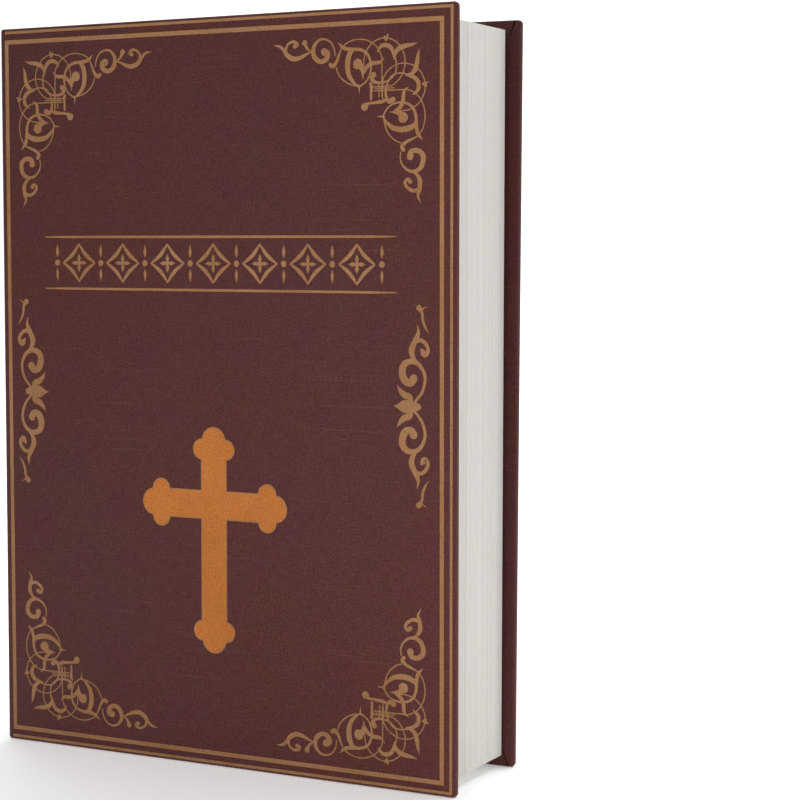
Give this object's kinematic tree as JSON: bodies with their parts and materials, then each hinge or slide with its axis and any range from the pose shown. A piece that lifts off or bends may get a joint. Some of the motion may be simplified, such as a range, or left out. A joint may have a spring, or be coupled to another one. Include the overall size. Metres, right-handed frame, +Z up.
{
  "type": "book diversion safe",
  "caption": "Hardback book that hides a steel box in its windowed pages, with a hinged lid, dial lock and knob.",
  "frame": {"origin": "centre of the footprint, on the surface that the book stands on", "axes": "+Z up to the head of the book, +X from the spine to the fore-edge, -Y out of the front cover"},
  "size_m": [0.169, 0.045, 0.24],
  "materials": {
    "cover_cloth": "dark red-brown printed book cloth, fine linen weave",
    "gilding": "matt ochre-gold foil",
    "binder_board": "grey binder's board",
    "page_paper": "off-white uncoated paper",
    "kraft_lining": "brown kraft lining paper",
    "adhesive_foam": "double-sided foam adhesive",
    "painted_steel": "fine-textured grey powder coat on sheet steel",
    "plated_steel": "zinc-plated steel",
    "black_plate": "black enamelled plate",
    "gold_trim": "gold-coloured outline",
    "black_plastic": "black moulded plastic"
  },
  "bodies": {
    "book_base": {"adhesive_pad": "adhesive_foam", "back_cover_board": "binder_board", "back_cover_cloth": "cover_cloth", "back_pastedown": "page_paper", "fixed_leaf_rivet_1": "plated_steel", "fixed_leaf_rivet_2": "plated_steel", "fixed_leaf_rivet_3": "plated_steel", "hinge_fixed_leaf": "plated_steel", "hinge_pin": "plated_steel", "keeper": "plated_steel", "keeper_rivet_1": "plated_steel", "keeper_rivet_2": "plated_steel", "lower_pages_1": "page_paper", "lower_pages_2": "page_paper", "spine_board": "binder_board", "spine_cloth": "cover_cloth", "spine_lining": "kraft_lining", "steel_tray": "painted_steel"},
    "front_cover": {"front_cover_board": "binder_board", "front_cover_cloth": "cover_cloth", "front_pastedown": "page_paper", "gilt_thick_rule": "gilding", "gilt_thin_rule": "gilding", "gilt_cross": "gilding"},
    "upper_leaves_1": {"upper_pages_1": "page_paper"},
    "upper_leaves_2": {"upper_pages_2": "page_paper"},
    "upper_leaves_3": {"upper_pages_3": "page_paper"},
    "lid": {"lid_panel": "painted_steel", "hinge_moving_leaf": "plated_steel", "moving_leaf_rivet_1": "plated_steel", "moving_leaf_rivet_2": "plated_steel", "moving_leaf_rivet_3": "plated_steel", "lock_plate": "black_plate", "lock_plate_trim": "gold_trim", "lock_housing": "black_plastic", "housing_cover": "plated_steel", "housing_screw_1": "plated_steel", "housing_screw_2": "plated_steel", "housing_screw_3": "plated_steel", "housing_screw_4": "plated_steel", "dial_axle": "plated_steel", "detent_spring": "plated_steel"},
    "dial_1": {"dial_1": "black_plastic", "dial_sleeve_1": "plated_steel"},
    "dial_2": {"dial_2": "black_plastic", "dial_sleeve_2": "plated_steel"},
    "dial_3": {"dial_3": "black_plastic", "dial_sleeve_3": "plated_steel"},
    "fence": {"fence_bar": "plated_steel"},
    "knob": {"knob": "black_plastic", "spindle": "plated_steel", "latch_cam": "plated_steel", "cam_nut": "plated_steel"},
    "reset_lever": {"reset_lever": "black_plastic"}
  },
  "joints": [
    {"name": "cover_hinge", "type": "hinge", "parent": "book_base", "child": "front_cover", "pos_m": [-0.0843, -0.0223, 0.12], "axis": [0, 0, -1], "range_deg": [0, 170]},
    {"name": "upper_leaves_1_turn", "type": "hinge", "parent": "book_base", "child": "upper_leaves_1", "pos_m": [-0.081, -0.0192, 0.12], "axis": [0, 0, -1], "range_deg": [0, 18.5]},
    {"name": "upper_leaves_2_turn", "type": "hinge", "parent": "book_base", "child": "upper_leaves_2", "pos_m": [-0.081, -0.014, 0.12], "axis": [0, 0, -1], "range_deg": [0, 8.5]},
    {"name": "upper_leaves_3_turn", "type": "hinge", "parent": "book_base", "child": "upper_leaves_3", "pos_m": [-0.081, -0.0088, 0.12], "axis": [0, 0, -1], "range_deg": [0, 4]},
    {"name": "lid_hinge", "type": "hinge", "parent": "book_base", "child": "lid", "pos_m": [-0.05, -0.0135, 0.12], "axis": [0, 0, -1], "range_deg": [0, 99.5]},
    {"name": "dial_1_spin", "type": "hinge", "parent": "lid", "child": "dial_1", "pos_m": [0.024, 0.0001, 0.1539], "axis": [0, 0, 1], "continuous": true},
    {"name": "dial_2_spin", "type": "hinge", "parent": "lid", "child": "dial_2", "pos_m": [0.024, 0.0001, 0.1635], "axis": [0, 0, 1], "continuous": true},
    {"name": "dial_3_spin", "type": "hinge", "parent": "lid", "child": "dial_3", "pos_m": [0.024, 0.0001, 0.1731], "axis": [0, 0, 1], "continuous": true},
    {"name": "knob_turn", "type": "hinge", "parent": "lid", "child": "knob", "pos_m": [0.024, -0.0077, 0.1951], "axis": [0, -1, 0], "range_deg": [0, 90.5]},
    {"name": "fence_slide", "type": "slide", "parent": "lid", "child": "fence", "axis": [0, 0, 1], "range_m": [0, 0.0025]},
    {"name": "reset_slide", "type": "slide", "parent": "lid", "child": "reset_lever", "axis": [0, 0, 1], "range_m": [0, 0.003]}
  ],
  "couplings": [
    {"joint": "upper_leaves_1_turn", "follows": "cover_hinge", "ratio": 0.10588},
    {"joint": "upper_leaves_2_turn", "follows": "cover_hinge", "ratio": 0.047059},
    {"joint": "upper_leaves_3_turn", "follows": "cover_hinge", "ratio": 0.020588},
    {"joint": "lid_hinge", "follows": "cover_hinge", "ratio": 0.58235},
    {"joint": "knob_turn", "follows": "fence_slide", "rad_per_m": 628.32}
  ]
}
